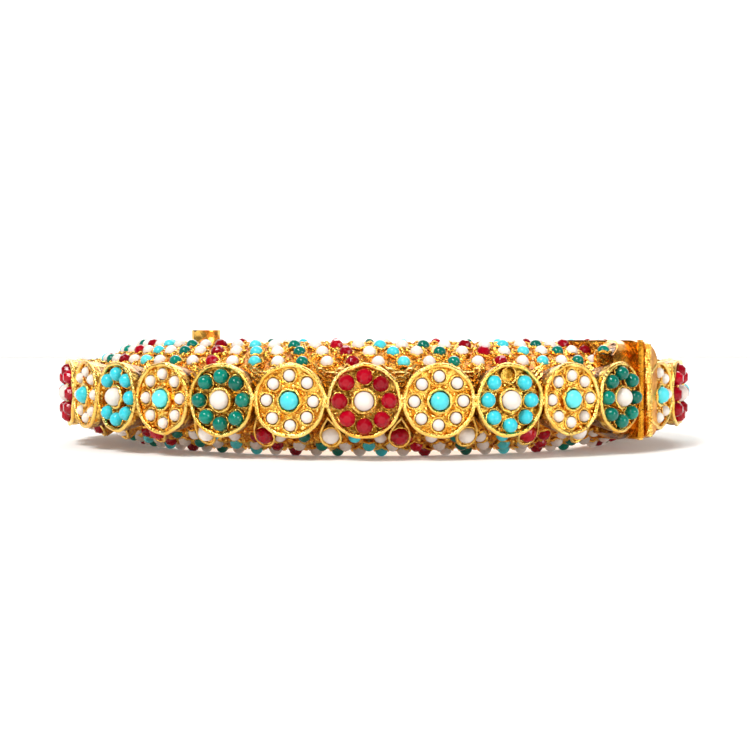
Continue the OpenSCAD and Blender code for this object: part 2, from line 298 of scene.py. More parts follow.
def shell_masks(gold):
    """Where a shell's point lies, as masks of 0 to 1: how much it is on the band, deep in the
    hollows between and inside the rosettes, where painted shade goes, in a dish, on the inner
    wall, or on a plate."""
    x, y, z = gold.axes()
    radius = (x * x + y * y) ** 0.5
    turn = gold.math("ARCTAN2", x, 0.0 - y) * (180 / math.pi)

    def between(start, end):
        """1 between two angles of the ring, and 0 outside them."""
        return gold.rise(turn, start) * (1.0 - gold.rise(turn, end))

    bend = gold.above(radius, APRON_BEND_R) ** 2.0 + gold.above(z, MID_Z + APRON_BEND_Z) ** 2.0
    apron = gold.rise(bend ** 0.5, APRON_ROUND) * (1.0 - gold.rise(radius, APRON_R + 0.1))
    at_hinge = between(HINGE_ANGLE - APRON_PLATE, HINGE_ANGLE + SHORT_PLATE)
    at_clasp = between(CLASP_ANGLE - CLASP_PLATE, CLASP_ANGLE + SHORT_PLATE)
    plates = gold.clamp(at_hinge * (apron + gold.rise(turn, HINGE_ANGLE - END_PLATE)) + at_clasp)
    # The deep mask covers the hollows below the rims' tops, which get painted shade
    deep = gold.fall(radius, RIM_TOP_R, 6.0) * gold.rise(radius, GAP_R, 2.0) * (1.0 - plates)
    return {"band": gold.rise(radius, BAND_R, 2.5), "deep": deep,
            "dish": gold.rise(radius, DISH_R),
            "wall": gold.fall(radius, INNER_R + WALL_DEPTH, 8.0), "plates": plates}


print("the band starts", BAND_R, "mm from the axis and the dishes", DISH_R)

# %% [markdown]
# ## Gold of the shells
#
# The hollows get painted shade, a deep brown gold, and the tops a bright one: a darker base
# colour stands for the shadow that falls into them. The grain and the hammer marks are a bump
# that fades out on the plates and on the inner wall, which the wrist keeps smooth.

# %% Gold of the shells
SHELL_GOLDS = {  # the dark and the light colour of each region
    "slope": ((0.50, 0.12, 0.005, 1), (0.98, 0.48, 0.055, 1)),
    "band": ((0.60, 0.21, 0.012, 1), (1.0, 0.64, 0.12, 1)),
    # The dish and gap colours are painted shade: darker gold for the hollows below the rims
    "dish": ((0.32, 0.15, 0.012, 1), (1.0, 0.62, 0.12, 1)),
    "gap": ((0.10, 0.035, 0.004, 1), (0.45, 0.19, 0.02, 1)),
    "plate": ((0.48, 0.16, 0.006, 1), (0.78, 0.35, 0.03, 1)),
}
WALL_GOLD = (0.92, 0.47, 0.07, 1)


def shell_finish():
    """The shells' gold: each region mixes its two colours by a noise, and the masks lay the
    regions over each other."""
    gold = Finish("shell_gold", Metallic=1.0)
    mask = shell_masks(gold)
    wide, fine = gold.patches(0.6, 3.0, 3.6, 1.3), gold.patches(1.3, 2.0, 5.0, 2.1)
    golds = {region: gold.mix(fine if region in ("band", "dish") else wide, *pair)
             for region, pair in SHELL_GOLDS.items()}
    colour = gold.mix(mask["band"], golds["slope"], golds["band"])
    # Painted shade: the hollows take the dark gap gold, and the dish floors the dark dish gold
    colour = gold.mix(mask["deep"], colour, gold.mix(mask["dish"], golds["gap"], golds["dish"]))
    colour = gold.mix(mask["plates"], colour, golds["plate"])
    gold.feed("Base Color", gold.mix(mask["wall"], colour, WALL_GOLD))
    gold.feed("Roughness", 0.16 + 0.2 * gold.noise(1.6))
    grain, hammer = gold.noise(2.4, 4.0), gold.cells(0.8)
    on_slope = 0.55 * (1.0 - mask["band"]) * grain
    on_band = mask["band"] * (0.26 * hammer + 0.22 * grain)
    gold.bump((on_slope + on_band) * (1.0 - 0.9 * mask["wall"]) * (1.0 - 0.85 * mask["plates"]))
    return gold.data


shell_gold = shell_finish()
print("made", shell_gold.name, "with", len(shell_gold.node_tree.nodes), "nodes")

# %% [markdown]
# ## Stones
#
# The stones are small and nearly opaque: glassy red, green like sea glass, sky blue, and
# pearls of warm white. A glass shader could bend the light in the clear ones, but at this size
# the eye sees only colour and gloss. So each is a plain body under a thin clear coat. Every
# stone carries a number of its own, its shade, and no two neighbours are quite alike.

# %% Finishes of the stones
STONES = {  # deep colour, light colour, roughness, strength of the clear coat
    "ruby": ((0.22, 0.0, 0.005, 1), (0.43, 0.0, 0.012, 1), 0.10, 0.12),
    "emerald": ((0.0, 0.11, 0.075, 1), (0.0, 0.24, 0.17, 1), 0.10, 0.4),
    "turquoise": ((0.04, 0.55, 0.64, 1), (0.13, 0.78, 0.84, 1), 0.25, 0.4),
    "pearl": ((0.78, 0.69, 0.62, 1), (0.88, 0.82, 0.77, 1), 0.22, 0.25),
}


def stone_finish(name, deep, light, roughness, coat):
    """A stone that goes from its deep to its light colour with its own shade number."""
    stone = Finish(name, Coat_Weight=coat, Coat_Roughness=0.04, Roughness=roughness,
                   Specular_IOR_Level=0.2)
    shade = stone.node("ShaderNodeAttribute", {}, "Fac", attribute_name="shade")
    stone.feed("Base Color", stone.mix(stone.clamp(shade), deep, light))
    return stone.data


stone_finishes = {name: stone_finish(name, *look) for name, look in STONES.items()}
print("stone finishes:", ", ".join(stone_finishes))

# %% [markdown]
# ## Turned shapes
#
# Beads and grains are round, as if turned on a lathe. Blender's sphere would do for a ball,
# but a profile of our own also gives beads that are flat below and full above. All new pieces
# are grids of points like this one, worked out as whole arrays.

# %% A lathe


def quads(rows, columns, closed_rows=False, closed_columns=True):
    """The faces of a grid of points: each joins a point with the next in its row and the two
    beside them in the next row. A closed way joins its last point to its first."""
    i = np.arange(rows if closed_rows else rows - 1)[:, None]
    j = np.arange(columns if closed_columns else columns - 1)[None, :]
    i_next, j_next = (i + 1) % rows, (j + 1) % columns
    corners = (i * columns + j, i * columns + j_next, i_next * columns + j_next,
               i_next * columns + j)
    return np.stack(np.broadcast_arrays(*corners), axis=-1).reshape(-1, 4).tolist()


def lathe(profile, sides):
    """A surface of revolution. Each profile point (radius, height) becomes a ring of points
    (radius times cosine, radius times sine, height), and the last one is the pole."""
    profile = np.array(profile, float)
    turn = np.arange(sides) * 2 * np.pi / sides
    rings = np.stack([np.outer(profile[:-1, 0], np.cos(turn)),
                      np.outer(profile[:-1, 0], np.sin(turn)),
                      np.outer(profile[:-1, 1], np.ones(sides))], axis=-1).reshape(-1, 3)
    points = np.vstack([rings, [[0.0, 0.0, profile[-1, 1]]]])
    top, side = len(rings) - sides, np.arange(sides)
    cap = np.stack([top + side, top + (side + 1) % sides, np.full(sides, len(rings))], axis=-1)
    return points, quads(len(profile) - 1, sides) + cap.tolist()


def ball(radius, middle, lowest, sides):
    """The upper part of a ball as a lathed shape: its profile runs from an angle below the
    equator up to the pole, round a middle at the given height."""
    return lathe([(radius * math.cos(t), radius * math.sin(t) + middle)
                  for t in np.radians(np.linspace(lowest, 90, 7))], sides)


grain = lathe([(1.0, -0.5), (0.92, 0.35), (0.5, 0.85), (0, 1.0)], 6)
print("a solder grain has", len(grain[1]), "faces")

# %% [markdown]
# ## Cut shapes
#
# A cut stone has rings of small flat faces round a flat table. Bevels on a cylinder could cut
# them, but then they would all line up. Turning each ring of corners half a step against the
# one below gives the triangles of the real cut.

# %% Facets


def facets(rings, sides):
    """A cut stone: each ring (radius, height) is turned half a step against the one below it,
    triangles join them, and a flat table closes the top."""
    side = np.arange(sides)
    ahead = (side + 1) % sides
    points, faces = [], []
    for level, (radius, height) in enumerate(rings):
        turn = (side + 0.5 * (level % 2)) * 2 * np.pi / sides
        points.append(np.stack([radius * np.cos(turn), radius * np.sin(turn),
                                np.full(sides, height)], axis=-1))
    for level in range(len(rings) - 1):
        low, high = level * sides, (level + 1) * sides
        tip, corner = (ahead, side) if level % 2 else (side, ahead)
        standing = np.stack([low + side, low + ahead, high + tip], axis=-1)
        hanging = np.stack([low + corner, high + ahead, high + side], axis=-1)
        faces += np.stack([standing, hanging], axis=1).reshape(-1, 3).tolist()
    faces.append(((len(rings) - 1) * sides + side).tolist())
    return np.vstack(points), faces


def cut_bead(r):
    """A round cut bead: foot, girdle, two rings of crown facets and a table."""
    return facets([(0.62 * r, 0), (r, 0.5 * r), (1.02 * r, 1.05 * r), (0.86 * r, 1.5 * r),
                   (0.46 * r, 1.86 * r)], 12)


print("a cut bead has", len(cut_bead(1)[1]), "faces")

# %% [markdown]
# ## Wires
#
# Rims, collets, drops and folds are all bent wire or strip. A Blender curve with a bevel
# would serve, but our own sweep lets us join hundreds of them in one light mesh, and squash a
# round wire into a strip.

# %% A wire along a curve


def wire_shape(curve, radius, sides=6, closed=True, flat=1.0):
    """A wire along a curve. At each point the section is a circle across the curve's
    direction: radius times cosine sideways, and radius times sine times the flat number
    upwards, where up is as near as can be to the z axis."""
    curve = np.array(curve, float)
    along = np.roll(curve, -1, 0) - np.roll(curve, 1, 0)
    if not closed:
        along[0], along[-1] = curve[1] - curve[0], curve[-1] - curve[-2]
    along /= np.linalg.norm(along, axis=1, keepdims=True)
    up = np.array([0.0, 0.0, 1.0]) - along * along[:, 2:3]
    up /= np.maximum(np.linalg.norm(up, axis=1, keepdims=True), 1e-9)
    sideways = np.cross(along, up)
    turn = np.arange(sides) * 2 * np.pi / sides
    points = curve[:, None, :] + radius * (sideways[:, None, :] * np.cos(turn)[None, :, None]
                                           + flat * up[:, None, :] * np.sin(turn)[None, :, None])
    faces = quads(len(curve), sides, closed_rows=closed)
    if not closed:
        ring = np.arange(sides)
        faces += [ring[::-1].tolist(), ((len(curve) - 1) * sides + ring).tolist()]
    return points.reshape(-1, 3), faces


def collet(radius, points, height, wire, depth):
    """A wavy ring of wire: its height follows a cosine with that many points round the ring,
    and its radius a smaller one with three."""
    turn = np.linspace(0, 2 * np.pi, 4 * points, endpoint=False)
    reach = radius + 0.06 * np.cos(3 * turn + points)
    return wire_shape(np.stack([reach * np.cos(turn), reach * np.sin(turn),
                                height + depth * np.cos(points * turn)], axis=-1), wire, 5)


slope_collets = [collet(0.82, 5, 0.12, 0.19, 0.10), collet(0.86, 4, 0.16, 0.16, 0.14),
                 collet(0.80, 6, 0.08, 0.20, 0.08)]
print("a slope collet has", len(slope_collets[0][1]), "faces")

# %% [markdown]
# ## Places on the ring
#
# A jeweller works on one stone at a time, with the ring turned so that the stone faces up. We
# do the same: a shape is made lying flat, and a frame, an origin with three axes, says where
# it goes. Empties or instances could hold the copies, but a frame is only a few numbers, and
# one sum of products sets all copies at once.

# %% Frames and copies


def ring_frame(angle, r, z, lean=90.0):
    """A place on the ring: an origin and three axes, which run round the ring, up the surface
    and straight out of it. The lean is 0 for a surface that faces up and 90 for one that faces
    out."""
    a, t = math.radians(angle), math.radians(lean)
    outward = np.array([math.sin(a), -math.cos(a), 0.0])
    around = np.array([math.cos(a), math.sin(a), 0.0])
    upward = np.array([0.0, 0.0, 1.0])
    out = math.sin(t) * outward + math.cos(t) * upward
    return r * outward + (MID_Z + z) * upward, np.stack([around, np.cross(out, around), out])


def turned(at, angle):
    """The same frame, turned about its outward axis."""
    origin, (around, upward, out) = at
    c, s = math.cos(angle), math.sin(angle)
    return origin, np.stack([c * around + s * upward, c * upward - s * around, out])


def around_frame(at, out, angle, z):
    """A frame beside another: that far out at an angle round it, and raised by z."""
    origin, axes = at
    return turned((origin + out * (math.cos(angle) * axes[0] + math.sin(angle) * axes[1])
                   + z * axes[2], axes), angle)


def scatter(shape, frames, sizes=None):
    """Sets one shape at many frames: each point becomes the frame's origin plus the sum of its
    coordinates times the frame's axes. Also says how many points one copy has."""
    points, faces = shape
    origins = np.array([f[0] for f in frames])
    axes = np.array([f[1] for f in frames])
    sizes = np.ones((len(frames), 3)) if sizes is None else np.array(sizes, float)
    placed = origins[:, None, :] + np.einsum("npk,nkc->npc", points[None] * sizes[:, None, :], axes)
    step = len(points)
    all_faces = [tuple(v + step * i for v in face) for i in range(len(frames)) for face in faces]
    return placed.reshape(-1, 3), all_faces, step


print("the front of the rims is at", ring_frame(0, RIM_R, 0)[0].round(2))

# %% [markdown]
# ## From arrays to a piece
#
# All copies of one stone on one half become a single object. Hundreds of separate objects
# would look the same and take much longer. The copies' shades are stored in the mesh, where
# the stone's material finds them.

# %% A piece


def add_piece(name, parts, finish, body, smooth=True, seed=1):
    """Makes one mesh from scattered shapes, gives each copy its own shade, and sets it to ride
    on a body."""
    shade_dice = np.random.default_rng(seed)
    points, faces, shades, offset = [], [], [], 0
    for placed, part_faces, step in parts:
        points.append(placed)
        faces += [tuple(v + offset for v in face) for face in part_faces]
        shades.append(np.repeat(shade_dice.random(len(placed) // step), step))
        offset += len(placed)
    points = np.vstack(points) * MM
    mesh = bpy.data.meshes.new(name)
    mesh.from_pydata(points.tolist(), [], faces)
    mesh.attributes.new("shade", "FLOAT", "POINT").data.foreach_set("value", np.concatenate(shades))
    mesh.polygons.foreach_set("use_smooth", np.full(len(faces), smooth))
    mesh.materials.append(finish)
    mesh.update()
    piece = bpy.data.objects.new(name, mesh)
    bpy.context.scene.collection.objects.link(piece)
    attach(piece, body)
    print(f"{name}: {len(faces)} faces")
    return piece


def add_gold(half, what, parts, finish, smooth=True):
    """Adds a gold piece that belongs to one half."""
    add_piece(f"{half}_{what}", parts, finish, half + "_half", smooth)


def add_stones(half, what, colour, shape, frames, smooth=True, seed=1):
    """Adds one half's stones of one colour and shape, and returns their piece."""
    return add_piece(f"{half}_{what}", [scatter(shape, frames)], stone_finishes[colour],
                     half + "_half", smooth, seed)


# %% [markdown]
# ## Stones of the slopes
#
# Three rows of small stones run above the band and three below it. Every second stone is a
# pearl, and the ones between go through the three colours in turn. They could be scattered by
# particles, but the real rows are as regular as beads on a thread, so a loop steps along each.
# Each stone covers the stud that the exact model has in its place.

# %% Stones of the slopes
TOP_COLOURS = ("turquoise", "emerald", "ruby")
FOOT_COLOURS = ("ruby", "emerald", "turquoise")
# How many degrees the rows keep off a plate, and off the end plate behind the low apron
PLATE_CLEAR, APRON_CLEAR = 1.5, 0.9
HALVES = {"front": (CLASP_ANGLE + SHORT_PLATE + PLATE_CLEAR, HINGE_ANGLE - END_PLATE - APRON_CLEAR),
          "back": (HINGE_ANGLE + SHORT_PLATE + PLATE_CLEAR,
                   360 + CLASP_ANGLE - CLASP_PLATE - PLATE_CLEAR)}
BALL_Z = STUD_H - STUD_R
dome = ball(0.75, BALL_Z, -25, 12)
small_cut = facets([(0.72, BALL_Z - 0.3), (0.80, BALL_Z + 0.05), (0.66, BALL_Z + 0.46),
                    (0.34, BALL_Z + 0.74)], 10)
slope_shapes = {"pearl": dome, "turquoise": dome, "emerald": dome, "ruby": small_cut}


def slope_stones(half):
    """Colour and frame of every stone on one half's slopes: stone j of a row stands j steps
    from the row's start, for each j that lies within the half."""
    start, end = HALVES[half]
    for i in range(3):
        lean = math.degrees(row_lean(i))
        for first, colours, side in ((TOP_START[i], TOP_COLOURS, 1), (FOOT_START[i], FOOT_COLOURS, -1)):
            for j in range(math.ceil((start - first) / ROW_STEP),
                           math.floor((end - first) / ROW_STEP) + 1):
                at = ring_frame(first + ROW_STEP * j, INNER_R + ROW_OUT[i], side * row_z(i),
                                lean if side > 0 else 180 - lean)
                yield ("pearl" if j % 2 else colours[(j // 2) % 3]), at


for half in HALVES:
    stones = list(slope_stones(half))
    for colour, shape in slope_shapes.items():
        here = [at for what, at in stones if what == colour]
        add_stones(half, "slope_" + colour, colour, shape, here, shape is dome, len(here))

# %% [markdown]
# ## Collets and grains of the slopes
#
# Each slope stone sits in a collet of bent wire with uneven points, and grains of solder fill
# the ground between. A bump could fake the grains, but they catch the light one by one. We
# could bend every collet anew. Three shapes, each turned at random, are enough for the eye to
# see no repeat.

# %% Collets and grains of the slopes
GRAINS_A_STONE = 6
dice = np.random.default_rng(20)


def any_angle():
    """A random angle in radians, over a little more than a whole turn."""
    return dice.random() * 6.3


def grain_sizes(count, least, most):
    """Sizes of grains: one number between two limits for each, and each of its three
    directions strays from it."""
    return dice.uniform(least, most, (count, 1)) * dice.uniform(0.7, 1.3, (count, 3))


for half in HALVES:
    frames = [at for _, at in slope_stones(half)]
    picks = dice.integers(0, 3, len(frames))
    rings = [scatter(shape, [turned(at, any_angle()) for at, pick in zip(frames, picks)
                             if pick == number]) for number, shape in enumerate(slope_collets)]
    add_gold(half, "slope_collets", rings, sheet_gold)
    beside = [around_frame(at, dice.uniform(0.98, 1.35), any_angle(), -0.02)
              for at in frames for _ in range(GRAINS_A_STONE)]
    sizes = grain_sizes(len(beside), 0.12, 0.42)
    add_gold(half, "slope_grains", [scatter(grain, beside, sizes)], grain_gold)

# %% [markdown]
# ## Where the rosettes' beads are
#
# A rosette is a dish with eight beads round a middle one. The beads were set by hand, so each
# strays a little from its eighth of a turn. The exact model strays them by sines of the
# rosette's and the bead's numbers, which look random but can be worked out again here, so our
# beads and collets land on its pits. A few beads are lost on the real bangle, and their places
# stay empty.

# %% Places on a rosette
KINDS = ("turquoise", "pearl", "emerald", "pearl", "ruby", "pearl")
PETAL_RING, PETAL_STRAY, PETALS = 2.70, 0.08, 8
NUMBERS = {"front": range(1, FRONT_ROSETTES + 1), "back": range(FRONT_ROSETTES + 1, ROSETTES + 1)}
# Pairs of a rosette's and a bead's number: a collet whose bead is lost, and places that have
# neither, such as those behind the short plates
EMPTY = {(13, 2)}
BARE = {(7, 4)} | {(n, i) for n in (1, 16) for i in (3, 4, 5)}


def rosette_angle(n):
    """Angle of rosette n, counted from 1 beside the clasp."""
    return FIRST_ANGLE + (n - 1) * PITCH + (JOINT_GAP if n > FRONT_ROSETTES else 0)


def kind(n):
    """Kind of the beads that ring rosette n."""
    return KINDS[(n - 1) % len(KINDS)]


def petal_spot(n, i):
    """Place of bead i on rosette n: an even eighth of a turn and an even distance from the
    middle, each with a small stray that is a sine of the two numbers."""
    turn = math.radians(45 * i + 1.4 * math.sin(math.radians(137 * n + 73 * i)))
    out = PETAL_RING + PETAL_STRAY * math.sin(math.radians(211 * n + 97 * i))
    return out * math.cos(turn), out * math.sin(turn)


def on_rosette(n, x=0.0, y=0.0, z=0.0):
    """A frame at a place on rosette n, in the rosette's own plane."""
    origin, axes = ring_frame(rosette_angle(n), RIM_R, 0)
    return origin + x * axes[0] + y * axes[1] + z * axes[2], axes


def bead_frames(colours, numbers, z, missing):
    """Frames of the beads of some colours on some rosettes, at one height."""
    return [on_rosette(n, *petal_spot(n, i), z) for n in numbers if kind(n) in colours
            for i in range(PETALS) if (n, i) not in missing]


print("rosettes lie", round(PITCH, 2), "degrees apart;", len(EMPTY | BARE), "bead places are empty")

# %% [markdown]
# ## Beads of the rosettes
#
# The rubies of the rosettes are cut and the emeralds are smooth. The exact model has both as
# plain eight-sided beads, which move and collide well but look coarse. So finer beads of the
# same size and place stand for them. The back half's pearls are studs of its shell, and a
# small pearl covers each.

# %% Rubies, emeralds and small pearls
BEAD_FOOT, PIT_FLOOR = -0.6, -0.75
PEARL_R, PEARL_COVER = 0.63, 0.03
smooth_bead = lathe([(0.52, 0), (0.80, 0.42), (0.83, 0.75), (0.76, 1.08), (0.56, 1.36),
                     (0.3, 1.51), (0, 1.55)], 16)
small_pearl = ball(PEARL_R + PEARL_COVER, PIT_FLOOR + PEARL_R, -40, 14)
for half, numbers in NUMBERS.items():
    for colour, node, shape in (("ruby", "rubies", cut_bead(0.89)),
                                ("emerald", "emeralds", smooth_bead)):
        here = bead_frames((colour,), numbers, BEAD_FOOT, EMPTY | BARE)
        piece = add_stones(half, "cut_" + node, colour, shape, here, shape is smooth_bead)
        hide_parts(f"{half}_{node}")
add_stones("back", "small_pearls", "pearl", small_pearl,
           bead_frames(("pearl",), NUMBERS["back"], 0, BARE))

# %% [markdown]
# ## Middle turquoises
#
# The rosettes of pearls have a turquoise in the middle, and it stands a little prouder than
# the exact model's bead. We could change that model, but a fuller dome in the same place does
# it, and the exact model's bead under it is hidden.

# %% Middle turquoises
middle_ball = ball(1.03, 0.22, -58, 20)


def middle_node(half, n):
    """Name of the exact model's middle bead on rosette n."""
    return f"{half}_centre_{n - NUMBERS[half][0] + 1}"


for half, numbers in NUMBERS.items():
    here = {middle_node(half, n): on_rosette(n) for n in numbers if kind(n) == "pearl"}
    piece = add_stones(half, "middle_turquoises", "turquoise", middle_ball, list(here.values()))
    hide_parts(*here)

# %% [markdown]
# ## Rim wires and middle wires
#
# A bright wire is soldered round each rosette's rim and round its middle bead. A torus would
# be too even: hand-bent wire wanders in and out. Two cosines that beat against each other
# give that, and three versions of each, turned from rosette to rosette, hide the repeat. The
# rosette beside the hinge has its rim open where the plate covers it.

# %% Rim and middle wires
RIM_WIRE_R, RIM_WIRE, RIM_SIDES = 3.86, 0.25, 8
MIDDLE_WIRE_R, MIDDLE_WIRE = 1.27, 0.17
OPEN_FROM, OPEN_TO = 75, 285


def wavy_ring(radius, waves, stray, z, rise):
    """A closed curve round a rosette: its radius strays by a product of two cosines, and its
    height by one."""
    turn = np.linspace(0, 2 * np.pi, 64, endpoint=False)
    reach = radius + stray * np.cos(waves * turn) * np.cos(2 * turn + waves)
    return np.stack([reach * np.cos(turn), reach * np.sin(turn),
                     z + rise * np.cos((waves - 2) * turn + 1)], axis=-1)


rims = [wire_shape(wavy_ring(RIM_WIRE_R, waves, 0.07, 0.02, 0.05), RIM_WIRE, RIM_SIDES)
        for waves in (5, 7, 9)]
middles = [wire_shape(wavy_ring(MIDDLE_WIRE_R, waves, 0.05, 0.2, 0.06), MIDDLE_WIRE)
           for waves in (5, 8, 11)]
open_turn = np.radians(np.linspace(OPEN_FROM, OPEN_TO, 40))
open_rim = wire_shape(np.stack([RIM_WIRE_R * np.cos(open_turn), RIM_WIRE_R * np.sin(open_turn),
                                0 * open_turn], axis=-1), RIM_WIRE, RIM_SIDES, closed=False)


def add_wires(half, numbers):
    """The rim wires and the middle wires of one half's rosettes."""
    whole = [n for n in numbers if n != FRONT_ROSETTES]
    parts = [scatter(rims[n % 3], [turned(on_rosette(n), n)]) for n in whole]
    parts += [scatter(open_rim, [on_rosette(n)]) for n in numbers if n not in whole]
    add_gold(half, "rim_wires", parts, wire_gold)
    parts = [scatter(middles[n % 3], [turned(on_rosette(n), n)]) for n in numbers]
    add_gold(half, "middle_wires", parts, wire_gold)


print("a rim wire has", len(rims[0][1]), "faces")

# %% [markdown]
# ## Bead collets and dish grains
#
# Each bead of a rosette is held by a thin collet, and grains of solder lie between the beads,
# in a ring near the middle and in one near the rim. The collets of the pearls are finer and
# more even. Both reuse the shapes of the slopes with other sizes, because the maker had one way
# of setting a stone.

# %% Bead collets and dish grains
bead_collet = collet(0.90, 7, -0.22, 0.10, 0.07)
pearl_collet = collet(0.84, 5, -0.10, 0.09, 0.03)
# The two rings of grains: nearest, farthest, how many degrees they stray, and their height
DISH_GRAINS = ((1.62, 1.85, 9, -0.45), (3.25, 3.5, 6, -0.4))
PEARL_DISH_Z, HALF_PETAL = -0.15, 22


def add_settings(half, numbers):
    """The bead collets and the dish grains of one half's rosettes."""
    collets = [scatter(shape, [turned(at, any_angle())
                               for at in bead_frames(colours, numbers, 0, BARE)])
               for shape, colours in ((bead_collet, ("ruby", "emerald", "turquoise")),
                                      (pearl_collet, ("pearl",)))]
    add_gold(half, "petal_collets", collets, wire_gold)
    spots = [around_frame(on_rosette(n), dice.uniform(nearest, farthest),
                          math.radians(45 * i + HALF_PETAL + dice.uniform(-stray, stray)),
                          PEARL_DISH_Z if kind(n) == "pearl" else z)
             for nearest, farthest, stray, z in DISH_GRAINS for n in numbers for i in range(PETALS)]
    sizes = grain_sizes(len(spots), 0.14, 0.30)
    add_gold(half, "rosette_grains", [scatter(grain, spots, sizes)], wire_gold)


for half, numbers in NUMBERS.items():
    add_wires(half, numbers)
    add_settings(half, numbers)

# %% [markdown]
# ## Gap stones and their drops
#
# Below the band each gap between two rosettes holds a bigger stone, a ruby and a pearl by
# turns, in a drop of wire whose point reaches up to where the two rims meet. A Bezier curve
# could draw the drop. A sine times a power of the half angle's sine is as short to write, and
# two numbers give its width and height.

# %% Gap stones and their drops
GAPS = {"front": range(1, FRONT_ROSETTES), "back": range(FRONT_ROSETTES + 1, ROSETTES)}
# The gap studs of the exact model start this far inside the tube's face and this far below
# the middle plane, and lean this far from upright
GAP_STUD_IN, GAP_STUD_Z, GAP_STUD_LEAN = 0.6, -2.9, 122
GAP_STONE_OUT, GAP_COLLET_OUT = 1.85, 1.95
DROP_R, DROP_Z, DROP_LEAN = 37.25, -3.42, 130.5
DROP_HALF_W, DROP_HALF_H, DROP_WIRE = 1.55, 2.15, 0.17
gap_ball = ball(0.98, 0, 0, 14)
gap_cut = facets([(0.92, -0.15), (1.04, 0.22), (0.86, 0.66), (0.46, 0.97)], 12)
gap_collet = collet(1.08, 9, 0, 0.12, 0.05)


def gap_angle(n):
    """Angle of the gap after rosette n."""
    return rosette_angle(n) + PITCH / 2


def gap_frame(n, along):
    """A frame on the slanting axis of the stud after rosette n, that far along it."""
    origin, axes = ring_frame(gap_angle(n), TUBE_R - GAP_STUD_IN, GAP_STUD_Z, GAP_STUD_LEAN)
    return origin + along * axes[2], axes


def drop(half_w, half_h):
    """A drop with its point up: the height is a cosine, and the width a sine times a power of
    the half angle's sine, which closes the top to a point. A cosine of twice the angle lets
    the top and bottom stand out a little farther than the sides."""
    turn = np.linspace(0, 2 * np.pi, 56, endpoint=False)
    width = half_w * np.sin(turn) * np.abs(np.sin(turn / 2)) ** 1.4
    return np.stack([width, half_h * np.cos(turn), 0.12 * np.cos(2 * turn)], axis=-1)


drop_wire = wire_shape(drop(DROP_HALF_W, DROP_HALF_H), DROP_WIRE)
for half, gaps in GAPS.items():
    for colour, shape, parity in (("ruby", gap_cut, 1), ("pearl", gap_ball, 0)):
        here = [gap_frame(n, GAP_STONE_OUT) for n in gaps if n % 2 == parity]
        add_stones(half, "gap_" + colour, colour, shape, here, shape is gap_ball)
    drops = [ring_frame(gap_angle(n), DROP_R, DROP_Z, DROP_LEAN) for n in gaps]
    rings = [gap_frame(n, GAP_COLLET_OUT) for n in gaps]
    add_gold(half, "drops", [scatter(drop_wire, drops), scatter(gap_collet, rings)], wire_gold)

# %% [markdown]
# ## Folded sheet and rim joins
#
# Above the band the gap is filled with a strip of sheet, folded like a fan into steps that
# climb from the joint of the rims to the slope. Cloth folds could be simulated, but metal
# keeps sharp ones, so four open Vs of flat strip stand one behind the other, each with small
# zigzags. Two lumps of solder join the rims where they meet.

# %% Folded sheet and rim joins
# Each fold's half width, how far its ends rise, the height of its bottom, and its distance
# from the axis, the hindmost first
FOLDS = ((1.9, 0.9, 2.95, 37.0), (1.5, 0.9, 2.5, 37.5), (1.1, 0.8, 2.0, 38.0),
         (0.7, 0.6, 1.45, 38.5))
STRIP_HALF, STRIP_FLAT, STRIP_SIDES = 0.17, 1.8, 4
JOIN_R, JOIN_HEIGHTS, JOIN_SIZE = 39.45, (-0.35, 0.3), (0.42, 0.5, 0.4)


def fold(half_w, rise, bottom, out):
    """An open V in a rosette gap: its height grows with a power of the distance from the gap's
    middle, its ends bend inwards, and small zigzags run along it."""
    x = np.linspace(-half_w, half_w, 9)
    zigzag = 0.10 * (-1.0) ** np.arange(len(x))
    return np.stack([x, bottom + rise * (np.abs(x) / half_w) ** 1.3 + zigzag,
                     out - 0.25 * np.abs(x) + zigzag], axis=-1)


strips = [wire_shape(fold(*sizes), STRIP_HALF, STRIP_SIDES, closed=False, flat=STRIP_FLAT)
          for sizes in FOLDS]
for half, gaps in GAPS.items():
    tops = [ring_frame(gap_angle(n), 0, 0) for n in gaps]
    add_gold(half, "folds", [scatter(strip, tops) for strip in strips], wire_gold, smooth=False)
    joins = [ring_frame(gap_angle(n), JOIN_R, z) for n in gaps for z in JOIN_HEIGHTS]
    sizes = np.tile(JOIN_SIZE, (len(joins), 1)) * dice.uniform(0.8, 1.2, (len(joins), 3))
    add_gold(half, "rim_joins", [scatter(grain, joins, sizes)], wire_gold)

# %% [markdown]
# ## Stone on the apron
#
# The sheet beside the hinge is low at its left end, and one more emerald shows there. The
# rows' loop could be given an exception for it. A single stone and its collet, set flat at a
# place of their own, say more plainly what they are.

# %% Stone on the apron
APRON_STONE_ANGLE, APRON_STONE_R, APRON_STONE_Z = 46.8, 36.6, 5.05
apron_place = ring_frame(APRON_STONE_ANGLE, APRON_STONE_R, APRON_STONE_Z, 0)
add_piece("apron_emerald", [scatter(dome, [apron_place])], stone_finishes["emerald"],
          "front_half")
add_piece("apron_collet", [scatter(slope_collets[0], [apron_place])], sheet_gold,
          "front_half")

# %% [markdown]
# ## Hinge strip
#
# A grained strip of solder runs down the back half's plate beside the barrel. A bump on the
# plate could show the grain, but the strip also stands out against the background, so it is a
# surface: half a round bar whose radius strays at random from point to point.

# %% Solder strip
# Its foot above the middle plane and its length; how far its arc's middle lies across and out
# from the pin; how far it leans; the arc's least radius and how much that strays
STRIP_FOOT, STRIP_TALL = -4.8, 10.9
STRIP_ACROSS, STRIP_OUT, STRIP_LEAN = 0.62, 0.62, 0.45
STRIP_R, STRIP_STRAY = 0.38, 0.13
ARC_FROM, ARC_TO = -105, 70
# Where the strip's two edges are tucked in: how far out each lies, and the second across
TUCK_OUT, TUCK_ACROSS = (0.22, 0.55), 0.48


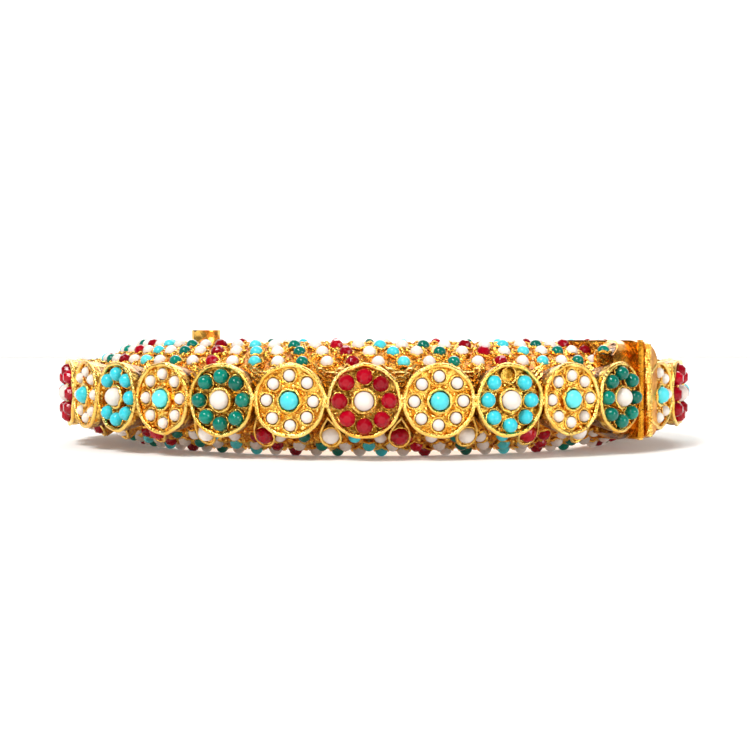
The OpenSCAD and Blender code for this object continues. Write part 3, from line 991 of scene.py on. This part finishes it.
def solder_strip():
    """A half-round strip in the corner of the plate beside the barrel. Its section is an arc
    whose radius strays at random, so that grains stand on it, with both ends tucked into the
    plate. It leans a little to the right as it goes down."""
    rough = np.random.default_rng(7)
    high, wide = 141, 11
    v = np.linspace(0, 1, high)[:, None]
    turn = np.radians(np.linspace(ARC_FROM, ARC_TO, wide - 2))[None, :]
    reach = STRIP_R + STRIP_STRAY * rough.random((high, wide - 2))
    middle = STRIP_ACROSS + STRIP_LEAN * (1 - v)
    across = np.hstack([middle, middle + reach * np.sin(turn), middle + TUCK_ACROSS])
    out = np.hstack([0 * v + TUCK_OUT[0], STRIP_OUT + reach * np.cos(turn), 0 * v + TUCK_OUT[1]])
    height = np.broadcast_to(STRIP_FOOT + STRIP_TALL * v, across.shape)
    points = np.stack([across, height, HINGE_R + out], axis=-1).reshape(-1, 3)
    return points, quads(high, wide, closed_columns=False)


add_piece("solder_strip", [scatter(solder_strip(), [ring_frame(HINGE_ANGLE, 0, 0)])],
          wire_gold, "back_half", smooth=False)

# %% [markdown]
# ## Finishes of the exact model
#
# The shells, the pin, the screw, the pearls and the turquoises are shown as the exact model
# has them. Their shapes are right, so copies would gain nothing, and they only need their
# finishes.

# %% Dress the exact nodes


def dress(node, finish):
    """Gives an exact node its finish and leaves its mesh alone."""
    mesh = nodes[node].data
    mesh.materials.clear()
    mesh.materials.append(finish)


finishes = {"front_shell": shell_gold, "back_shell": shell_gold, "hinge_pin": plain_gold,
            "clasp_screw": plain_gold, "front_pearls": stone_finishes["pearl"],
            "front_turquoises": stone_finishes["turquoise"],
            "back_turquoises": stone_finishes["turquoise"]}
finishes.update({middle_node(half, n): stone_finishes["pearl"]
                 for half, numbers in NUMBERS.items() for n in numbers if kind(n) != "pearl"})
for node, finish in finishes.items():
    dress(node, finish)
print("dressed", len(finishes), "exact nodes")

# %% [markdown]
# ## Floor and wall
#
# Jewellery is often shown on a sheet of white paper that bends up behind it, so that no edge
# shows. One strip of faces does that. Far from the lamps it would turn grey, so the paper
# glows a little by itself, the wall more than the floor, which has to keep its soft shadow.

# %% Floor and wall
# In metres: where the floor starts and where it starts to bend, the bend's radius, the
# wall's top and half the sheet's width
FLOOR_START, BEND_START, BEND_R, WALL_TOP, HALF_SHEET = -1.5, 0.9, 0.4, 2.0, 2.5


def paper(name, glow):
    """White paper. A glow of its own keeps what lies far from the lamps as white as the rest."""
    return Finish(name, Base_Color=(0.90, 0.89, 0.87, 1), Roughness=0.8,
                  Emission_Color=(1, 1, 1, 1), Emission_Strength=glow).data


def studio_surface():
    """One pale sheet: a flat floor that bends up into a wall, as a row of points along a line,
    a quarter of a circle and a line."""
    bend = np.radians(np.linspace(0, 90, 13))
    y = np.concatenate([[FLOOR_START], BEND_START + BEND_R * np.sin(bend), [BEND_START + BEND_R]])
    z = np.concatenate([[0.0], BEND_R - BEND_R * np.cos(bend), [WALL_TOP]])
    points = [(side, a, b) for a, b in zip(y, z) for side in (-HALF_SHEET, HALF_SHEET)]
    faces = quads(len(y), 2, closed_columns=False)
    mesh = bpy.data.meshes.new("studio")
    mesh.from_pydata(points, [], faces)
    for finish in (paper("floor_paper", 0.12), paper("wall_paper", 0.9)):
        mesh.materials.append(finish)
    mesh.polygons.foreach_set("material_index", [0] + [1] * (len(faces) - 1))
    mesh.polygons.foreach_set("use_smooth", [True] * len(faces))
    studio = bpy.data.objects.new("studio", mesh)
    bpy.context.scene.collection.objects.link(studio)
    return studio


studio = studio_surface()
print("studio sheet:", len(studio.data.polygons), "faces")

# %% [markdown]
# ## Lights
#
# Gold shows what it mirrors, so it needs broad soft boxes more than bright ones. The key
# stands high at the left, a fill opens the right, a wide one behind lifts the top stones, and
# a tiny lamp near the camera puts a sparkle on each bead. A photographed room could light it
# too, but four lamps are easier to steer.

# %% Lights


def soft_light(name, place, size, power):
    """A square soft box at a place, in metres and watts. It tilts by the angle between straight
    down and the way to the origin, and turns towards it."""
    data = bpy.data.lights.new(name, "AREA")
    data.size, data.energy = size, power
    light = bpy.data.objects.new(name, data)
    light.location = place
    x, y, z = place
    light.rotation_euler = (math.atan2(math.hypot(x, y), z), 0.0, math.atan2(-x, y) + math.pi)
    bpy.context.scene.collection.objects.link(light)


soft_light("key", (-0.22, -0.38, 0.5), 0.2, 3.8)
soft_light("fill", (0.5, -0.45, 0.2), 0.25, 1.8)
soft_light("back", (0.1, 0.6, 0.5), 0.5, 3.0)
soft_light("sparkle", (-0.08, -0.36, 0.2), 0.03, 0.2)
world = bpy.data.worlds.new("room")
world.use_nodes = True
room_light = world.node_tree.nodes["Background"].inputs
room_light["Color"].default_value = (1.0, 0.99, 0.97, 1)
room_light["Strength"].default_value = 0.18
bpy.context.scene.world = world
bpy.context.scene.view_settings.view_transform = "Standard"
print("lights:", ", ".join(light.name for light in bpy.data.lights))

# %% [markdown]
# ## Camera
#
# The photograph was taken close by and low, under two degrees above the bangle. We could aim
# by eye, but the rosettes are small near the ring's sides and big in front, which gives the
# distance. The lens follows from how many pixels a millimetre takes at the middle of the ring.

# %% Camera
PHOTO_DISTANCE, PHOTO_LIFT = 0.228, math.radians(1.81)
PIXELS_PER_MM, PHOTO_PIXELS, SENSOR = 7.642, 750, 36.0
SHIFT_RIGHT, SHIFT_UP = 0.9, 14.7
camera_data = bpy.data.cameras.new("photo")
camera_data.sensor_width = SENSOR
camera_data.clip_start = MM
camera_data.lens = PIXELS_PER_MM * PHOTO_DISTANCE / MM / PHOTO_PIXELS * SENSOR
camera_data.shift_x, camera_data.shift_y = SHIFT_RIGHT / PHOTO_PIXELS, SHIFT_UP / PHOTO_PIXELS
camera = bpy.data.objects.new("photo", camera_data)
camera.location = (0.0, -PHOTO_DISTANCE * math.cos(PHOTO_LIFT),
                   MID_Z * MM + PHOTO_DISTANCE * math.sin(PHOTO_LIFT))
camera.rotation_euler = (math.pi / 2 - PHOTO_LIFT, 0.0, 0.0)
bpy.context.scene.collection.objects.link(camera)
bpy.context.scene.camera = camera
print("camera at", [round(v, 4) for v in camera.location])

# %% [markdown]
# ## Size
#
# Dressing must not make the bangle bigger. Here the lesson closes.
